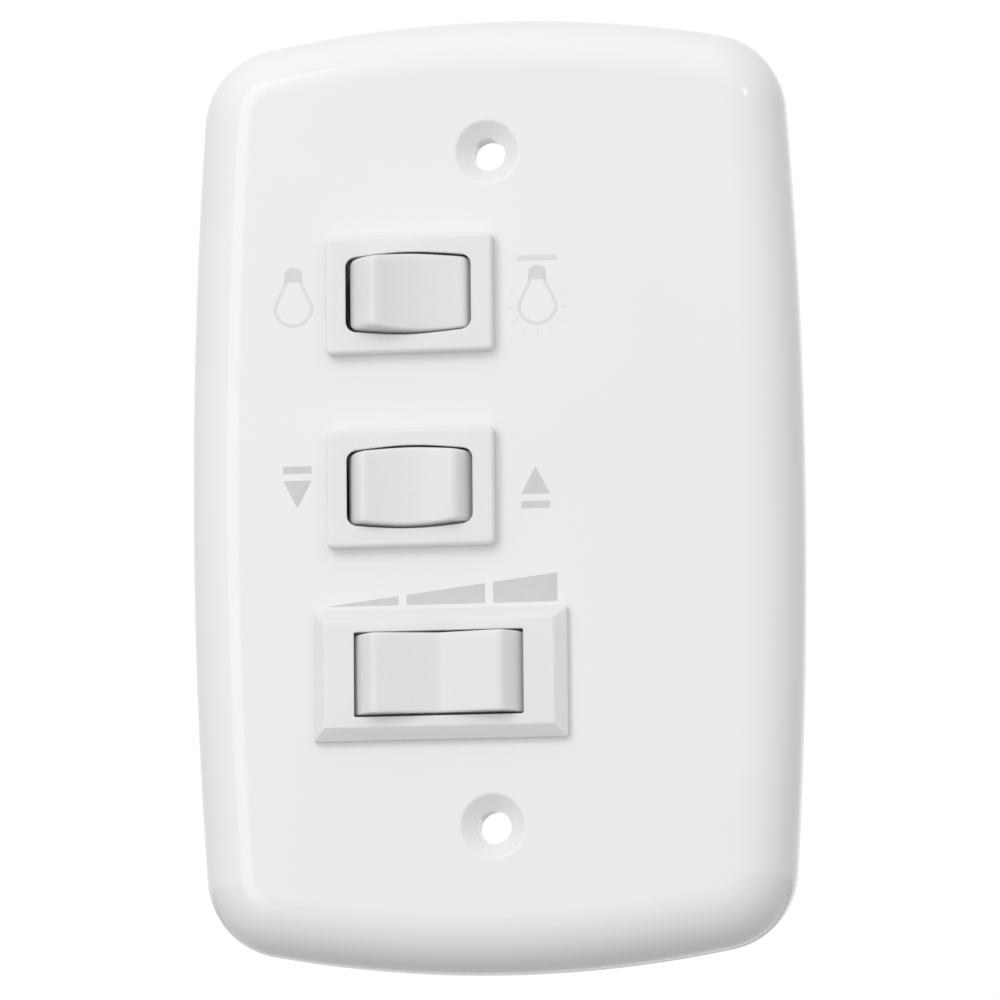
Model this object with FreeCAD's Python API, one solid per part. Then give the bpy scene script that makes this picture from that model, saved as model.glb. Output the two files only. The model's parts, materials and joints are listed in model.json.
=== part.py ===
import FreeCAD, Part
import math
import os

# Ceiling fan control for a flush wall box: a bowed cover plate with three snap-in rocker switches
# (light, direction and speed) and a run capacitor behind it. Millimetres.
# Every piece is drawn lying on its back: x to the right, y up the wall and z out of the wall, with
# the wall at z = 0 and the plate's centre at x = y = 0. stand_up then turns it to hang on the wall.

# Cover plate
plate_width = 76.0
plate_length = 118.5
plate_height = 9.0
plate_side_radius = 680.0
plate_end_radius = 150.0
plate_corner = 10.0
plate_roll = 7.0
plate_bevel = 3.4
plate_face = 2.2
plate_wall = 2.0
plate_foot = 0.8
screw_pitch = 83.3
screw_hole = 4.1
screw_sink = 7.9
screw_sink_depth = 1.9
boss_wall = 2.25
boss_drop = 3.0
gusset_reach = 7.0
rib_thickness = 1.2
rib_drop = 5.0

# Places of the switches on the plate
mini_x = -9.65
light_y = 24.0
reverse_y = 0.0
speed_x = -6.2
speed_y = -23.0

# Small switches, for light and direction
mini_bezel_length = 20.8
mini_bezel_width = 14.6
mini_bezel_height = 1.9
mini_bevel_width = 0.4
mini_bevel_height = 0.5
mini_bezel_lip = 0.7
mini_end_wall = 0.85
mini_side_wall = 1.2
mini_pivot_depth = 4.0
mini_tilt = 16.0
mini_rocker_gap = 0.7
mini_crest_rise = 1.65
mini_dish = 0.95
mini_side_bow = 0.55
mini_bow_start = 2.9
mini_rocker_corner = 0.6
mini_skirt = 1.2
mini_lug_drop = 2.0
mini_lug_foot = 1.0
mini_lug_root = 3.0
mini_stem_reach = 4.2

# Large switch, for the speeds
speed_bezel_length = 31.3
speed_bezel_width = 16.0
speed_bezel_height = 2.2
speed_bevel_width = 1.5
speed_bevel_height = 1.2
speed_bezel_lip = 1.45
speed_end_wall = 1.65
speed_side_wall = 1.2
speed_pivot_depth = 6.8
speed_tilt = 12.0
speed_rocker_gap = 0.55
speed_crest_rise = 2.1
speed_valley = 1.8
speed_skirt = 2.0
speed_lug_drop = 2.6
speed_lug_foot = 1.3
speed_lug_root = 3.9
speed_stem_reach = 6.4

# Rocker mechanism, the same in every switch
window_clearance = 0.15
side_gap = 0.3
shell = 1.1
roof = 1.3
trunnion_radius = 1.25
trunnion_fit = 0.05
trunnion_inset = 0.2
stem_wall = 0.7
plunger_width = 2.8
plunger_fit = 0.08
plunger_length = 1.2
plunger_gap = 0.15
nose_width = 1.0
nose_length = 1.4
spring_length = 3.8
spring_wire = 0.4
spring_turns = 4
spring_steps = 9
wire_sides = 4
spring_room = 0.15
bar_tilt = 7.0
bar_thickness = 0.5
bar_end_gap = 1.8
bar_margin = 0.25
bar_notch_depth = 0.65
bar_notch = 1.6
bar_corner = 1.1
horn_clearance = 0.15
horn_width = 0.8
horn_rise = 0.5
knife_gap = 0.08
contact_reach = 1.0
contact_width = 2.4
contact_height = 0.5
closing_gap = 0.05
fixed_height = 0.4
strip = 0.8
strip_reach = 1.4
bend_radius = 0.7
blade_width = 4.8
blade_length = 7.0
blade_eye = 1.6
eye_sides = 8
blade_taper = 0.9
slot_clearance = 0.06
shoulder_height = 1.0
shoulder_gap = 0.4
floor_thickness = 1.2
wing_width = 6.0
wing_length = 6.0
wing_reach = 1.2
wing_thickness = 0.7
wing_root = 1.4
wing_gap = 0.15

# Run capacitor
capacitor_width = 17.0
capacitor_length = 37.0
capacitor_depth = 26.0
capacitor_corner = 1.5
capacitor_rim = 1.2
capacitor_recess = 1.0
capacitor_room = 3.2
capacitor_clearance = 0.2
tab_count = 3
tab_pitch = 10.0
tab_reach = 9.0

# Worked out from the above
bar_neck = plunger_width + 2 * bar_margin
bar_width = bar_neck + 2 * bar_notch_depth
inner_face = plate_height - plate_face

# Modelling aids: how far a cut reaches past a face, how near counts as touching, the pivots' direction,
# the rounds in which two arcs are brought together and the sweep that mitres its corners
overcut = 1.0
touch = 1e-4
pivot_direction = FreeCAD.Vector(0, 1, 0)
meeting_rounds = 20
mitred = 1


def point(x, y, z):
    return FreeCAD.Vector(x, y, z)


def block(x0, x1, y0, y1, z0, z1):
    return Part.makeBox(x1 - x0, y1 - y0, z1 - z0, point(x0, y0, z0))


def centred_block(length, width, z0, z1):
    return block(-length / 2, length / 2, -width / 2, width / 2, z0, z1)


def upright_rod(radius, x, y, z0, z1):
    return Part.makeCylinder(radius, z1 - z0, point(x, y, z0))


def cross_rod(radius, y0, y1):
    """A rod along the pivot axis of a switch."""
    return Part.makeCylinder(radius, y1 - y0, point(0, y0, 0), pivot_direction)


def side_prism(outline, half_width):
    """A solid whose outline is drawn in x and z, as wide as asked each side of y = 0."""
    face = Part.Face(Part.Wire(outline))
    face.translate(point(0, -half_width, 0))
    return face.extrude(point(0, 2 * half_width, 0))


def end_prism(corners, x0, x1):
    """A solid whose outline is drawn in y and z, from x0 to x1."""
    face = Part.Face(Part.makePolygon([point(x0, y, z) for y, z in corners + corners[:1]]))
    return face.extrude(point(x1 - x0, 0, 0))


def line(start, end):
    return Part.LineSegment(start, end).toShape()


def arc(start, middle, end):
    return Part.Arc(start, middle, end).toShape()


def chain(points):
    """Straight edges through the points, in order."""
    return [line(a, b) for a, b in zip(points, points[1:])]


def polygon(sides, radius, place):
    """A closed even-sided wire. place turns its two plane coordinates into a point."""
    angles = [2 * math.pi * (k % sides) / sides for k in range(sides + 1)]
    return Part.makePolygon([place(radius * math.cos(a), radius * math.sin(a)) for a in angles])


def upright_edges(shape):
    return [e for e in shape.Edges if e.BoundBox.XLength < touch and e.BoundBox.YLength < touch]


def edges_at(shape, z):
    return [e for e in shape.Edges
            if abs(e.BoundBox.ZMin - z) < touch and abs(e.BoundBox.ZMax - z) < touch]


def stand_up(shape):
    turned = shape.copy()
    turned.rotate(point(0, 0, 0), point(1, 0, 0), 90)
    return turned


# Cover plate

def arcs_meet(half_width, half_length, side_radius, end_radius):
    """Where a bowed side meets a bowed end, closed in on by turns."""
    x, y = half_width, half_length
    for _ in range(meeting_rounds):
        x = half_width - side_radius + math.sqrt(side_radius ** 2 - y ** 2)
        y = half_length - end_radius + math.sqrt(end_radius ** 2 - x ** 2)
    return point(x, y, 0)


def bowed_outline(inset):
    """The plate's edge, drawn in by an inset: four long arcs joined by tangent corner arcs."""
    half_width = plate_width / 2 - inset
    half_length = plate_length / 2 - inset
    side_radius = plate_side_radius - inset
    end_radius = plate_end_radius - inset
    corner = plate_corner - inset
    centre = arcs_meet(half_width - corner, half_length - corner,
                       side_radius - corner, end_radius - corner)
    outward = [(centre - point(half_width - side_radius, 0, 0)).normalize(),
               (centre - point(0, half_length - end_radius, 0)).normalize()]
    on_side, on_end = [centre + direction * corner for direction in outward]
    on_corner = centre + (outward[0] + outward[1]).normalize() * corner

    def at(place, i, j):
        return point(i * place.x, j * place.y, 0)

    edges = []
    for i, j in ((1, 1), (-1, 1), (-1, -1), (1, -1)):
        edges.append(arc(at(on_side, i, j), at(on_corner, i, j), at(on_end, i, j)))
    for i in (-1, 1):
        edges.append(arc(at(on_side, i, -1), point(i * half_width, 0, 0), at(on_side, i, 1)))
        edges.append(arc(at(on_end, -1, i), point(0, i * half_length, 0), at(on_end, 1, i)))
    return Part.Wire(Part.__sortEdges__(edges))


def bowed_block(inset, z0, z1):
    """The plate's outline raised from z0 to z1."""
    face = Part.Face(bowed_outline(inset))
    face.translate(point(0, 0, z0))
    return face.extrude(point(0, 0, z1 - z0))


def screw_boss(y):
    """The collar behind a fixing hole, with a gusset on each side."""
    radius = screw_hole / 2 + boss_wall
    collar = upright_rod(radius, 0, y, inner_face - boss_drop, inner_face + touch)
    reach = radius + gusset_reach
    gusset = block(-reach, reach, y - rib_thickness / 2, y + rib_thickness / 2,
                   inner_face - boss_drop / 2, inner_face + touch)
    return collar.fuse(gusset)


def screw_passage(y):
    """A fixing hole with its countersink."""
    foot = point(0, y, plate_height - screw_sink_depth)
    sink = Part.makeCone(screw_hole / 2, screw_sink / 2, screw_sink_depth, foot)
    return upright_rod(screw_hole / 2, 0, y, 0, plate_height).fuse(sink)


def capacitor_pocket():
    """The ribs that stand around the capacitor."""
    x0, x1, y0, y1 = capacitor_edges()
    gap = capacitor_clearance
    outer = gap + rib_thickness
    low = inner_face - rib_drop
    ring = block(x0 - outer, x1 + outer, y0 - outer, y1 + outer, low, inner_face + touch)
    return ring.cut(block(x0 - gap, x1 + gap, y0 - gap, y1 + gap, low - overcut, inner_face + overcut))


def wall_plate():
    """The moulded cover: a bowed shell with a rolled edge, open towards the wall."""
    plate = bowed_block(0, 0, plate_height)
    roll = min(plate_roll, plate_height - plate_foot)
    plate = plate.makeFillet(roll, edges_at(plate, plate_height))
    hollow = bowed_block(plate_wall, -overcut, inner_face)
    bevel = min(plate_bevel, inner_face - plate_foot)
    hollow = hollow.makeChamfer(bevel, edges_at(hollow, inner_face))
    plate = plate.cut(hollow)
    plate = plate.fuse([screw_boss(screw_pitch / 2), screw_boss(-screw_pitch / 2), capacitor_pocket()])
    for switch in switches:
        plate = plate.cut(switch.placed(switch.window()))
    plate = plate.cut([screw_passage(screw_pitch / 2), screw_passage(-screw_pitch / 2)])
    return plate.removeSplitter()


# Rocker switches

class Switch:
    """One snap-in rocker switch. Its own drawing has the pivot axis along y through the origin."""

    def __init__(self, name, x, y, throws, rest):
        self.name = name
        self.x = x
        self.y = y
        self.throws = throws
        self.rest_tilt = rest * self.tilt
        self.body_half_length = self.bezel_length / 2 - self.bezel_lip - window_clearance
        self.body_half_width = self.bezel_width / 2 - self.bezel_lip - window_clearance
        self.well_radius = self.body_half_length - self.end_wall
        self.well_half_width = self.body_half_width - self.side_wall
        self.rocker_radius = self.well_radius - self.rocker_gap
        self.rocker_half_width = self.well_half_width - side_gap
        self.crest_z = self.pivot_depth + self.crest_rise
        self.crest_x = math.sqrt(self.rocker_radius ** 2 - self.crest_z ** 2)
        self.seat_z = self.pivot_depth - self.bezel_height
        self.back_z = self.seat_z - plate_face
        self.pivot_z = plate_height - self.seat_z
        self.bar_top = -self.stem_reach - nose_length - plunger_gap
        self.bar_bottom = self.bar_top - bar_thickness
        self.bar_axis = self.bar_bottom - knife_gap - strip / 2
        self.bar_half_length = self.well_radius - bar_end_gap
        self.contact_x = self.bar_half_length - contact_reach
        swing = math.radians(bar_tilt)
        contact_low = self.bar_bottom - contact_height - self.bar_axis
        self.fixed_top = (self.bar_axis - self.bar_half_length * math.sin(swing)
                          + contact_low * math.cos(swing) - closing_gap)
        self.shelf_top = self.fixed_top - fixed_height
        self.floor_z = self.shelf_top - strip
        self.bottom_z = self.floor_z - floor_thickness

    def placed(self, shape):
        moved = shape.copy()
        moved.translate(point(self.x, self.y, self.pivot_z))
        return moved

    def window(self):
        room = 2 * window_clearance
        return centred_block(2 * self.body_half_length + room, 2 * self.body_half_width + room,
                             self.back_z - overcut, self.seat_z + overcut)


class SmallSwitch(Switch):
    bezel_length = mini_bezel_length
    bezel_width = mini_bezel_width
    bezel_height = mini_bezel_height
    bevel_width = mini_bevel_width
    bevel_height = mini_bevel_height
    bezel_lip = mini_bezel_lip
    end_wall = mini_end_wall
    side_wall = mini_side_wall
    pivot_depth = mini_pivot_depth
    tilt = mini_tilt
    rocker_gap = mini_rocker_gap
    crest_rise = mini_crest_rise
    dip = mini_dish
    side_bow = mini_side_bow
    skirt = mini_skirt
    lug_drop = mini_lug_drop
    lug_foot = mini_lug_foot
    lug_root = mini_lug_root
    stem_reach = mini_stem_reach

    def barrel(self, end_room, side_room):
        """A drum about the pivot axis with bowed cheeks and broken corners, so it tips in its own form."""
        radius = self.rocker_radius + end_room
        half_width = self.rocker_half_width + side_room
        shoulder = half_width - mini_side_bow
        corner = mini_rocker_corner + end_room
        near = corner * (1 - math.sqrt(0.5))
        profile = [(0, half_width), (mini_bow_start, half_width), (radius - corner, shoulder),
                   (radius - near, shoulder - near), (radius, shoulder - corner)]
        outline = profile + [(r, -y) for r, y in reversed(profile)] + profile[:1]
        face = Part.Face(Part.makePolygon([point(r, y, 0) for r, y in outline]))
        return face.revolve(point(0, 0, 0), pivot_direction, 360)

    def rocker_top(self):
        """The dished face between the two crests, from right to left."""
        return [arc(point(self.crest_x, 0, self.crest_z), point(0, 0, self.crest_z - self.dip),
                    point(-self.crest_x, 0, self.crest_z))]


class LargeSwitch(Switch):
    bezel_length = speed_bezel_length
    bezel_width = speed_bezel_width
    bezel_height = speed_bezel_height
    bevel_width = speed_bevel_width
    bevel_height = speed_bevel_height
    bezel_lip = speed_bezel_lip
    end_wall = speed_end_wall
    side_wall = speed_side_wall
    pivot_depth = speed_pivot_depth
    tilt = speed_tilt
    rocker_gap = speed_rocker_gap
    crest_rise = speed_crest_rise
    dip = speed_valley
    side_bow = 0.0
    skirt = speed_skirt
    lug_drop = speed_lug_drop
    lug_foot = speed_lug_foot
    lug_root = speed_lug_root
    stem_reach = speed_stem_reach

    def barrel(self, end_room, side_room):
        """A plain drum about the pivot axis."""
        half_width = self.rocker_half_width + side_room
        return cross_rod(self.rocker_radius + end_room, -half_width, half_width)

    def rocker_top(self):
        """Two flat facets that meet in a valley over the pivot, from right to left."""
        return chain([point(self.crest_x, 0, self.crest_z), point(0, 0, self.crest_z - self.dip),
                      point(-self.crest_x, 0, self.crest_z)])


def bezel(switch):
    """The raised frame, with a bevel all round its front."""
    foot = switch.pivot_depth - switch.bevel_height
    rings = []
    for inset, z in ((0, foot), (switch.bevel_width, switch.pivot_depth)):
        x = switch.bezel_length / 2 - inset
        y = switch.bezel_width / 2 - inset
        corners = [point(x, y, z), point(-x, y, z), point(-x, -y, z), point(x, -y, z)]
        rings.append(Part.makePolygon(corners + corners[:1]))
    bevel = Part.makeLoft(rings, True, True)
    return centred_block(switch.bezel_length, switch.bezel_width, switch.seat_z, foot).fuse(bevel)


def snap_wing(switch, side):
    """A sprung tongue at a short end that holds the switch behind its window."""
    wall = switch.body_half_length
    tip = switch.back_z - wing_gap
    root = switch.back_z - wing_length
    profile = [(wall - shell / 2, root), (wall, root), (wall + wing_reach, tip - wing_thickness),
               (wall + wing_reach, tip), (wall + wing_reach - wing_thickness, tip),
               (wall, root + wing_root), (wall - shell / 2, root + wing_root)]
    corners = [point(side * x, 0, z) for x, z in profile]
    return side_prism(chain(corners + corners[:1]), wing_width / 2)


def blade_slot(x, switch):
    """The hole in the floor that a blade comes out of."""
    half_strip = strip / 2 + slot_clearance
    half_width = blade_width / 2 + slot_clearance
    return block(x - half_strip, x + half_strip, -half_width, half_width,
                 switch.bottom_z - overcut, switch.floor_z + overcut)


def throw_blade_x(switch, side):
    return side * (switch.contact_x + contact_reach)


def stop_post(switch, side):
    """The moulded stop under an end of the contact bar that has no terminal."""
    x = side * switch.contact_x
    return block(x - contact_reach, x + contact_reach, -bar_width / 2, bar_width / 2,
                 switch.floor_z - touch, switch.fixed_top)


def housing(switch):
    """Bezel and switch body in one moulding, with the rocker's well and the contact chamber."""
    body = centred_block(2 * switch.body_half_length, 2 * switch.body_half_width,
                         switch.bottom_z, switch.seat_z + touch)
    body = body.fuse([bezel(switch), snap_wing(switch, 1), snap_wing(switch, -1)])
    reach = switch.bezel_length
    drum = switch.barrel(switch.rocker_gap, side_gap)
    well = drum.common(centred_block(reach, reach, switch.skirt, reach))
    chamber = centred_block(2 * switch.well_radius, 2 * switch.well_half_width,
                            switch.floor_z, switch.skirt)
    bores = cross_rod(trunnion_radius + trunnion_fit, -switch.bezel_width, switch.bezel_width)
    blades = [0] + [throw_blade_x(switch, side) for side in switch.throws]
    body = body.cut([well, chamber, bores] + [blade_slot(x, switch) for x in blades])
    for side in (-1, 1):
        if side not in switch.throws:
            body = body.fuse(stop_post(switch, side))
    return body.removeSplitter()


def rocker_outline(switch):
    """The rocker seen along its pivot axis. The drum trims its two ends."""
    reach = switch.rocker_radius + overcut
    under = [(-reach, switch.skirt), (-switch.lug_root, switch.skirt), (-switch.lug_foot, -switch.lug_drop),
             (switch.lug_foot, -switch.lug_drop), (switch.lug_root, switch.skirt), (reach, switch.skirt),
             (reach, switch.crest_z), (switch.crest_x, switch.crest_z)]
    left = [(-switch.crest_x, switch.crest_z), (-reach, switch.crest_z), (-reach, switch.skirt)]
    rows = [[point(x, 0, z) for x, z in row] for row in (under, left)]
    return chain(rows[0]) + switch.rocker_top() + chain(rows[1])


def rocker(switch):
    """The pressed cap: a shell with two lugs, two trunnions and the spring's stem."""
    outline = side_prism(rocker_outline(switch), switch.bezel_width)
    cap = switch.barrel(0, 0).common(outline)
    lowered = outline.copy()
    lowered.translate(point(0, 0, -roof))
    hollow = switch.rocker_half_width - switch.side_bow - shell
    cap = cap.cut(cross_rod(switch.rocker_radius - shell, -hollow, hollow).common(lowered))
    pin_end = switch.body_half_width - trunnion_inset
    for side in (-1, 1):
        y0, y1 = sorted((side * hollow, side * pin_end))
        cap = cap.fuse(cross_rod(trunnion_radius, y0, y1))
    bore = plunger_width + 2 * plunger_fit
    stem = bore + 2 * stem_wall
    ceiling = switch.crest_z - switch.dip - roof / 2
    cap = cap.fuse(centred_block(stem, stem, -switch.stem_reach, ceiling))
    cap = cap.cut(centred_block(bore, bore, -switch.stem_reach - overcut, spring_ceiling(switch)))
    return cap.removeSplitter()


def plunger_head(switch):
    return -switch.stem_reach + plunger_length


def spring_ceiling(switch):
    return plunger_head(switch) + spring_length


def plunger(switch):
    """The square pusher in the stem, with a wedge nose that slides along the contact bar."""
    half = plunger_width / 2
    head = plunger_head(switch)
    mouth = -switch.stem_reach
    tip = mouth - nose_length
    profile = [(half, head), (-half, head), (-half, mouth), (-nose_width / 2, tip), (nose_width / 2, tip),
               (half, mouth)]
    corners = [point(x, 0, z) for x, z in profile]
    return side_prism(chain(corners + corners[:1]), half)


def spring(switch):
    """The helical spring above the plunger. Its wire is bent in short straight lengths."""
    radius = plunger_width / 2 - spring_room - spring_wire / 2
    start = plunger_head(switch) + spring_wire / 2
    rise = spring_length - spring_wire
    count = spring_turns * spring_steps
    coil = []
    for step in range(count + 1):
        angle = 2 * math.pi * step / spring_steps
        coil.append(point(radius * math.cos(angle), radius * math.sin(angle), start + rise * step / count))
    section = polygon(wire_sides, spring_wire / 2, lambda across, along: coil[0] + point(across, 0, along))
    return Part.makePolygon(coil).makePipeShell([section], True, True, mitred)


def contact_bar(switch):
    """The rocking strip that joins the common terminal to one end."""
    bar = centred_block(2 * switch.bar_half_length, bar_width, switch.bar_bottom, switch.bar_top)
    bar = bar.makeChamfer(min(bar_corner, bar_width / 2 - touch), upright_edges(bar))
    for side in (-1, 1):
        y0, y1 = sorted((side * bar_neck / 2, side * bar_width))
        bar = bar.cut(block(-bar_notch / 2, bar_notch / 2, y0, y1,
                            switch.bar_bottom - overcut, switch.bar_top + overcut))
    return bar


def contact_pads(switch, z0, z1):
    """Welded contact pads, one over each end terminal."""
    half = contact_width / 2
    pads = []
    for side in switch.throws:
        x = side * switch.contact_x
        pads.append(block(x - contact_reach, x + contact_reach, -half, half, z0, z1))
    return Part.makeCompound(pads)


def blade(x, top, tip):
    """A push-on tab: a flat strip with a tapered end and a many-sided eye."""
    half = blade_width / 2
    narrow = half - blade_taper
    corners = [(-half, top), (-half, tip + blade_taper), (-narrow, tip), (narrow, tip),
               (half, tip + blade_taper), (half, top)]
    tab = end_prism(corners, x - strip / 2, x + strip / 2)
    centre = tip + blade_taper + blade_eye
    eye = polygon(eye_sides, blade_eye / 2, lambda across, along: point(x - strip, across, centre + along))
    return tab.cut(Part.Face(eye).extrude(point(2 * strip, 0, 0)))


def common_terminal(switch):
    """The middle blade: shoulders on the floor, a knife edge under the bar, two horns beside its neck."""
    tip = switch.bottom_z - blade_length
    inner = bar_neck / 2 + horn_clearance
    outer = inner + horn_width
    shoulder = switch.well_half_width - shoulder_gap
    floor = switch.floor_z
    step = floor + shoulder_height
    horn_top = switch.bar_top + horn_rise
    half = [(shoulder, floor), (shoulder, step), (outer, step), (outer, horn_top), (inner, horn_top),
            (inner, switch.bar_axis)]
    corners = half + [(-y, z) for y, z in reversed(half)]
    edge = Part.makeCylinder(strip / 2, 2 * inner, point(0, -inner, switch.bar_axis), pivot_direction)
    terminal = end_prism(corners, -strip / 2, strip / 2).fuse([edge, blade(0, floor, tip)])
    return terminal.removeSplitter()


def throw_terminal(switch, side):
    """An end blade, bent over on the floor into a shelf for its contact."""
    x = throw_blade_x(switch, side)
    inner = side * (switch.contact_x - strip_reach)
    outer = x + side * strip / 2
    x0, x1 = sorted((inner, outer))
    shelf = block(x0, x1, -blade_width / 2, blade_width / 2, switch.floor_z, switch.shelf_top)
    terminal = shelf.fuse(blade(x, switch.floor_z, switch.bottom_z - blade_length)).removeSplitter()
    bend = [e for e in edges_at(terminal, switch.shelf_top) if abs(e.BoundBox.Center.x - outer) < touch]
    return terminal.makeFillet(min(bend_radius, strip - touch), bend)


def rocker_pose(switch, shape):
    """Tip a piece of the rocker to the position that it is shown in."""
    turned = shape.copy()
    turned.rotate(point(0, 0, 0), pivot_direction, switch.rest_tilt)
    return turned


def bar_pose(switch, shape):
    """Tip a piece of the contact bar as the plunger has pushed it."""
    turned = shape.copy()
    turned.rotate(point(0, 0, switch.bar_axis), pivot_direction, -bar_tilt * switch.rest_tilt / switch.tilt)
    return turned


def switch_pieces(switch):
    """Every piece of a switch under its node's name, in its place on the plate."""
    bar_pads = contact_pads(switch, switch.bar_bottom - contact_height, switch.bar_bottom)
    pieces = {
        "housing": housing(switch),
        "rocker": rocker_pose(switch, rocker(switch)),
        "plunger": rocker_pose(switch, plunger(switch)),
        "spring": rocker_pose(switch, spring(switch)),
        "contact_bar": bar_pose(switch, contact_bar(switch)),
        "bar_contacts": bar_pose(switch, bar_pads),
        "common_terminal": common_terminal(switch),
        "fixed_contacts": contact_pads(switch, switch.shelf_top, switch.fixed_top),
    }
    side_names = {-1: "left", 1: "right"}
    for side in switch.throws:
        pieces[side_names[side] + "_terminal"] = throw_terminal(switch, side)
    return {switch.name + "_" + piece: switch.placed(shape) for piece, shape in pieces.items()}


# Run capacitor

def capacitor_edges():
    """Left, right, lower and upper edge: beside the small switches and above the large one."""
    left = light.x + light.body_half_length + wing_reach + capacitor_room
    low = speed.y + speed.body_half_width + capacitor_room
    return left, left + capacitor_width, low, low + capacitor_length


def capacitor_case():
    """The potted case. The fill stands a little below the rim of its open back."""
    x0, x1, y0, y1 = capacitor_edges()
    back = inner_face - capacitor_depth
    rim = capacitor_rim
    case = block(x0, x1, y0, y1, back, inner_face)
    case = case.makeFillet(capacitor_corner, upright_edges(case))
    recess = block(x0 + rim, x1 - rim, y0 + rim, y1 - rim, back - overcut, back + capacitor_recess)
    return case.cut(recess)


def capacitor_tabs():
    """Push-on tabs in a row, standing out of the fill."""
    x0, x1, y0, y1 = capacitor_edges()
    fill = inner_face - capacitor_depth + capacitor_recess
    first = (y0 + y1) / 2 - (tab_count - 1) / 2 * tab_pitch
    tabs = []
    for index in range(tab_count):
        tab = blade((x0 + x1) / 2, fill, fill - tab_reach)
        tab.translate(point(0, first + index * tab_pitch, 0))
        tabs.append(tab)
    return Part.makeCompound(tabs)


light = SmallSwitch("light", mini_x, light_y, throws=(-1,), rest=1)
reverse = SmallSwitch("reverse", mini_x, reverse_y, throws=(-1, 1), rest=0)
speed = LargeSwitch("speed", speed_x, speed_y, throws=(-1, 1), rest=0)
switches = (light, reverse, speed)

parts = {
    "wall_plate": wall_plate(),
    "capacitor_case": capacitor_case(),
    "capacitor_tabs": capacitor_tabs(),
}
for switch in switches:
    parts.update(switch_pieces(switch))

os.makedirs("parts", exist_ok=True)
for node, shape in parts.items():
    stand_up(shape).exportStep(os.path.join("parts", node + ".step"))
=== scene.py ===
import json
from math import acos, atan2, cos, hypot, pi, radians, sin, sqrt, tan

import bmesh
import bpy
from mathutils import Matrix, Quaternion, Vector

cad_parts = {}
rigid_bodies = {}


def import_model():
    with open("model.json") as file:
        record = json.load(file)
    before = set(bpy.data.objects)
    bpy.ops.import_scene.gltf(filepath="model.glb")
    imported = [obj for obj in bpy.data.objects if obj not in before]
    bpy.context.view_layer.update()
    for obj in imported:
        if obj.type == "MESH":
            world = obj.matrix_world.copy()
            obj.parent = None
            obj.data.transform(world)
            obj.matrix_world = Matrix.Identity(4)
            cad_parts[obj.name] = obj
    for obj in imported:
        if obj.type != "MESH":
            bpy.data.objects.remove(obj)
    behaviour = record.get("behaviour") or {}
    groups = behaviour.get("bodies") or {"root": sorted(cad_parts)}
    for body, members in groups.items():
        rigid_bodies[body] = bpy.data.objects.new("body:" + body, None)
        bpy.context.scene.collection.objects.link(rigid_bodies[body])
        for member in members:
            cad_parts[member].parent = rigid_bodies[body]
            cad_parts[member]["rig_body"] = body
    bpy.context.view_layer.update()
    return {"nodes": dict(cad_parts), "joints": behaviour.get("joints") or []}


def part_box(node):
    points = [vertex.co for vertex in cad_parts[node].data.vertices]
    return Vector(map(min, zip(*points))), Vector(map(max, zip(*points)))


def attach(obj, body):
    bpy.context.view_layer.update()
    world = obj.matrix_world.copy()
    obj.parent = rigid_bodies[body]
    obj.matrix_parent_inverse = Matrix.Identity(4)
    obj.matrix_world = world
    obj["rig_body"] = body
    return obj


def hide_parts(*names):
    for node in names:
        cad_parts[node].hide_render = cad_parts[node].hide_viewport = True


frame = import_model()
nodes = frame["nodes"]
joints = {joint["name"]: joint for joint in frame["joints"]}
mm = 0.001


# Small tools

meshing = {"weld": 0.0004, "sharp": 32, "flatWeight": 90}  # mm, degrees, and the pull of large flat faces


def tint(code):  # sRGB hex to linear
    parts = [int(code[i:i + 2], 16) / 255 for i in (1, 3, 5)]
    return [c / 12.92 if c <= 0.04045 else ((c + 0.055) / 1.055) ** 2.4 for c in parts] + [1.0]


def addNode(tree, kind, inputs={}, **settings):  # one node, its settings, values and links
    node = tree.nodes.new(kind)
    for name, value in settings.items():
        setattr(node, name, value)
    for name, value in inputs.items():
        if isinstance(value, bpy.types.NodeSocket):
            tree.links.new(value, node.inputs[name])
        else:
            node.inputs[name].default_value = value
    return node


def place(x, up, out):  # the plate's own drawing: right, up the wall, out of the wall, in mm
    return Vector((x, -out, up)) * mm


def addObject(name, data):
    thing = bpy.data.objects.new(name, data)
    bpy.context.scene.collection.objects.link(thing)
    return thing


def newPiece(name, bm, finishes):
    weld = meshing["weld"] * mm
    bmesh.ops.remove_doubles(bm, verts=bm.verts, dist=weld)
    bmesh.ops.dissolve_degenerate(bm, edges=bm.edges, dist=weld)
    bmesh.ops.recalc_face_normals(bm, faces=bm.faces)
    mesh = bpy.data.meshes.new(name)
    bm.to_mesh(mesh)
    bm.free()
    for finish in finishes:
        mesh.materials.append(finish)
    piece = addObject(name, mesh)
    markSharp(piece, meshing["sharp"])
    return piece


def markSharp(piece, sharpAngle):  # soft shading that stops at real edges
    bm = bmesh.new()
    bm.from_mesh(piece.data)
    for edge in bm.edges:
        edge.smooth = edge.calc_face_angle(0.0) < radians(sharpAngle)
    for face in bm.faces:
        face.smooth = True
    bm.to_mesh(piece.data)
    bm.free()


def bakeModifiers(piece):  # the evaluated mesh becomes the plain mesh
    shown = piece.evaluated_get(bpy.context.evaluated_depsgraph_get())
    mesh = bpy.data.meshes.new_from_object(shown)
    piece.modifiers.clear()
    old = piece.data
    piece.data = mesh
    bpy.data.meshes.remove(old)


def smoothOver(piece, sharpAngle):  # flat faces stay flat beside their rounded edges
    markSharp(piece, sharpAngle)
    weighted = piece.modifiers.new("weighted", "WEIGHTED_NORMAL")
    weighted.keep_sharp = True
    weighted.weight = meshing["flatWeight"]
    bakeModifiers(piece)


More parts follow.
